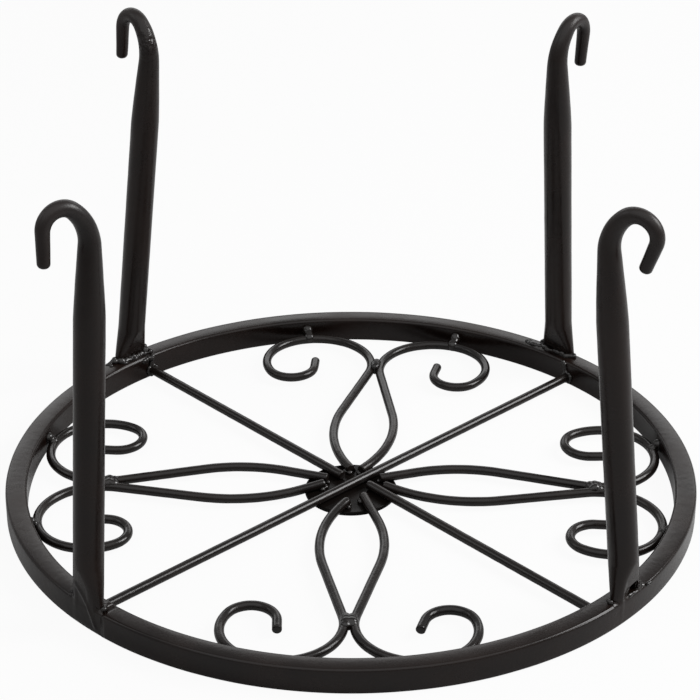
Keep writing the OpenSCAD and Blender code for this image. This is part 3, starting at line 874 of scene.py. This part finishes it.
# The welds where the two wires of a petal touch: a round knob at the back, and low mounds over both
# wires on the other petals. How far each lies inwards of where the wires come nearest to each other
JUNCTION_SHIFTS = (1.7, 0.0, 2.6, 1.3)
for i, petal in enumerate(PETALS):
    reach = PETAL_REACHES[i] - JUNCTION_SHIFTS[i]
    longer = petal == "front"
    if petal == "back":
        drops = [(reach + 1.2 * k + 0.4 * spread(i, k), 0.3 * spread(i + 3, k), WIRE_LEVEL + 1.4,
                  2.7 - 0.25 * abs(k) + 0.15 * spread(i, k + 5)) for k in range(-2, 3)]
    else:
        drops = [(reach + 1.7 * k + 0.4 * spread(i + side, k),
                  1.6 * side + 0.2 * spread(i, k + side),
                  WIRE_LEVEL + 0.75, 2.3 + 0.15 * spread(i + side, k + 5))
                 for k in (-1, 2 if longer else 1) for side in (-1, 1)]
        drops += [(reach + further, 1.15 * side, WIRE_LEVEL + 0.9, 2.75)
                  for further in ((0.0, 1.7) if longer else (0.0,)) for side in (-1, 1)]
    drops += [(reach + 1.5 * k, 0.0, WIRE_LEVEL - 0.4, 1.3) for k in range(-2, 3)]
    weld("drop_" + petal, [turned(drop, PETAL_ANGLES[i]) for drop in drops],
         ["junction_weld_" + petal], voxel=0.25, rough=0.06 if longer else 0.12)

# The waisted columns from the scrolls' backs up to the rim, and their waists' radii
TACK_WAISTS = (1.5, 2.1, 2.35, 2.35, 2.1, 1.7, 1.7, 1.7)
TACK_DROPS = 9
for i, name in enumerate(WIRES):
    middle = (PETAL_REACHES[i // 2], TOUCH_OFFSET + SCROLL_BENDS[0][1])
    angle = degrees(atan2(middle[1], middle[0]))
    start = (hypot(*middle) + SCROLL_BENDS[0][1] + 0.3, WIRE_LEVEL + 0.6)
    stop = (RIM_INNER - 0.1, WIRE_LEVEL + 2.8)
    drops = []
    for k in range(TACK_DROPS):
        share = k / (TACK_DROPS - 1)
        drops.append((start[0] + (stop[0] - start[0]) * share, 0.15 * spread(i + 4, k),
                      start[1] + (stop[1] - start[1]) * share,
                      TACK_WAISTS[i] + 1.9 * (share - 0.5) ** 2 + 0.12 * spread(i, k)))
    # a lip along the wire
    drops += [(start[0] - 0.2, k, WIRE_LEVEL + 0.9, 1.25) for k in (-1.7, -0.8, 0.8, 1.7)]
    weld("tack_" + name, on_side(i, [turned(drop, angle) for drop in drops]),
         ["scroll_tack_" + name], voxel=0.25, rough=0.1)

# Small drops at the wires' inner ends, on the disc: how far back along the wire, and what share of
# a distance to its side
HUB_DROPS, HUB_ASIDE = ((1.8, -1), (1.8, 1), (-0.3, -0.4)), 1.9
drops = []
for i, (end, ahead) in enumerate(inner_ends):
    heading = (ahead[0] - end[0], ahead[1] - end[1])
    across = (-heading[1], heading[0])
    for k, (back, side) in enumerate(HUB_DROPS):
        drops.append((end[0] - back * heading[0] + side * HUB_ASIDE * across[0],
                      end[1] - back * heading[1] + side * HUB_ASIDE * across[1],
                      HUB_THICKNESS + 0.2, 1.35 + 0.25 * spread(i, k)))
weld("beads_hub", drops, ["hub_tacks"], voxel=0.26, rough=0.12)

# ---------------------------------------------------------------- looks of the carried-over solids

for name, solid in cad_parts.items():
    look = tube_paint
    if "weld" in name or "tack" in name:
        look = weld_paint
    elif "wire" in name or "rod" in name:
        look = wire_paint
    elif name == "hub_disc":
        look = plate_paint
    solid.data.materials.clear()
    solid.data.materials.append(look)
    shade_smooth(solid.data)

# ---------------------------------------------------------------- studio

FLOOR_REACH, FLOOR_TONE = 6000.0, (0.62, 0.62, 0.62, 1)
# The share of a white glow in the floor that the camera sees, and how much of it glossy rays see
FLOOR_GLOW, FLOOR_GLOSSY = 0.94, 0.1
# The world's light on the object, and how much of its white the glossy rays see
WORLD_LEVEL, WORLD_GLOSSY = 0.12, 0.45
# Lamps: name, place, height that they aim at, size and power
LAMPS = (("lamp_back", (0.0, 2.0, 0.93), 0.05, (3.0, 0.55), 8.4),
         ("lamp_right", (1.12, 0.06, 0.86), 0.03, (0.68, 0.68), 18),
         ("lamp_left", (-1.12, 0.06, 0.86), 0.03, (0.55, 0.55), 1.3),
         ("lamp_over", (0.0, -0.55, 1.2), 0.03, (2.2, 1.5), 10))


def seen(tree, glossy):
    """1 for the camera's rays, a share for glossy rays and 0 for the others."""
    path = tree.nodes.new("ShaderNodeLightPath")
    part = worked(tree, "Math", "MULTIPLY", path.outputs["Is Glossy Ray"], glossy)
    return worked(tree, "Math", "MAXIMUM", path.outputs["Is Camera Ray"],
                  part.outputs["Value"]).outputs["Value"]


def floor_material():
    """White to the camera and a little to glossy rays, and a pale matt floor to the light."""
    material = bpy.data.materials.new("floor_look")
    material.use_nodes = True
    tree = material.node_tree
    tree.nodes.remove(tree.nodes["Principled BSDF"])
    matt = tree.nodes.new("ShaderNodeBsdfDiffuse")
    matt.inputs["Color"].default_value = FLOOR_TONE
    glow = tree.nodes.new("ShaderNodeEmission")
    glow.inputs["Strength"].default_value = 1.0
    share = worked(tree, "Math", "MULTIPLY", seen(tree, FLOOR_GLOSSY), FLOOR_GLOW)
    mix = tree.nodes.new("ShaderNodeMixShader")
    for socket, source in zip(mix.inputs, (share, matt, glow)):
        tree.links.new(source.outputs[0], socket)
    tree.links.new(mix.outputs["Shader"], tree.nodes["Material Output"].inputs["Surface"])
    return material


def soft_lamp(name, place, aim_height, size, power):
    light = bpy.data.lights.new(name, "AREA")
    light.shape = "RECTANGLE"
    light.size, light.size_y = size
    light.energy = power
    lamp = link_object(name, light)
    lamp.visible_camera = False
    lamp.location = place
    ahead = Vector((0, 0, aim_height)) - Vector(place)
    lamp.rotation_euler = ahead.to_track_quat("-Z", "Y").to_euler()


ends = [(x * FLOOR_REACH, y * FLOOR_REACH, 0) for x, y in ((-1, -1), (1, -1), (1, 1), (-1, 1))]
floor = mesh_object("floor", ends, [(0, 1, 2, 3)])
floor.data.materials.append(floor_material())

world = bpy.data.worlds.new("studio")
bpy.context.scene.world = world
world.use_nodes = True
tree = world.node_tree
sky = tree.nodes["Background"]
sky.inputs["Color"].default_value = (1, 1, 1, 1)
tree.links.new(mapped(tree, seen(tree, WORLD_GLOSSY), 0.0, 1.0, WORLD_LEVEL, 1.0),
               sky.inputs["Strength"])

for lamp in LAMPS:
    soft_lamp(*lamp)

# ---------------------------------------------------------------- camera

# The photograph is 700 pixels wide, and its focal length was fitted in pixels
ELEVATION, DISTANCE, SIDE, RISE = radians(28.342), 1.124149, -0.000418, 0.063225
SENSOR, FOCAL_PIXELS, PHOTO_PIXELS = 36, 2519.484, 700

camera = link_object("camera", bpy.data.cameras.new("camera"))
back = Vector((0, -cos(ELEVATION), sin(ELEVATION)))
up = Vector((0, sin(ELEVATION), cos(ELEVATION)))
camera.location = back * DISTANCE + Vector((SIDE, 0, 0)) + up * RISE
camera.rotation_euler = (pi / 2 - ELEVATION, 0, 0)
camera.data.sensor_fit = "HORIZONTAL"
camera.data.sensor_width = SENSOR
camera.data.lens = SENSOR * FOCAL_PIXELS / PHOTO_PIXELS
bpy.context.scene.camera = camera

bpy.context.scene.view_settings.view_transform = "Standard"
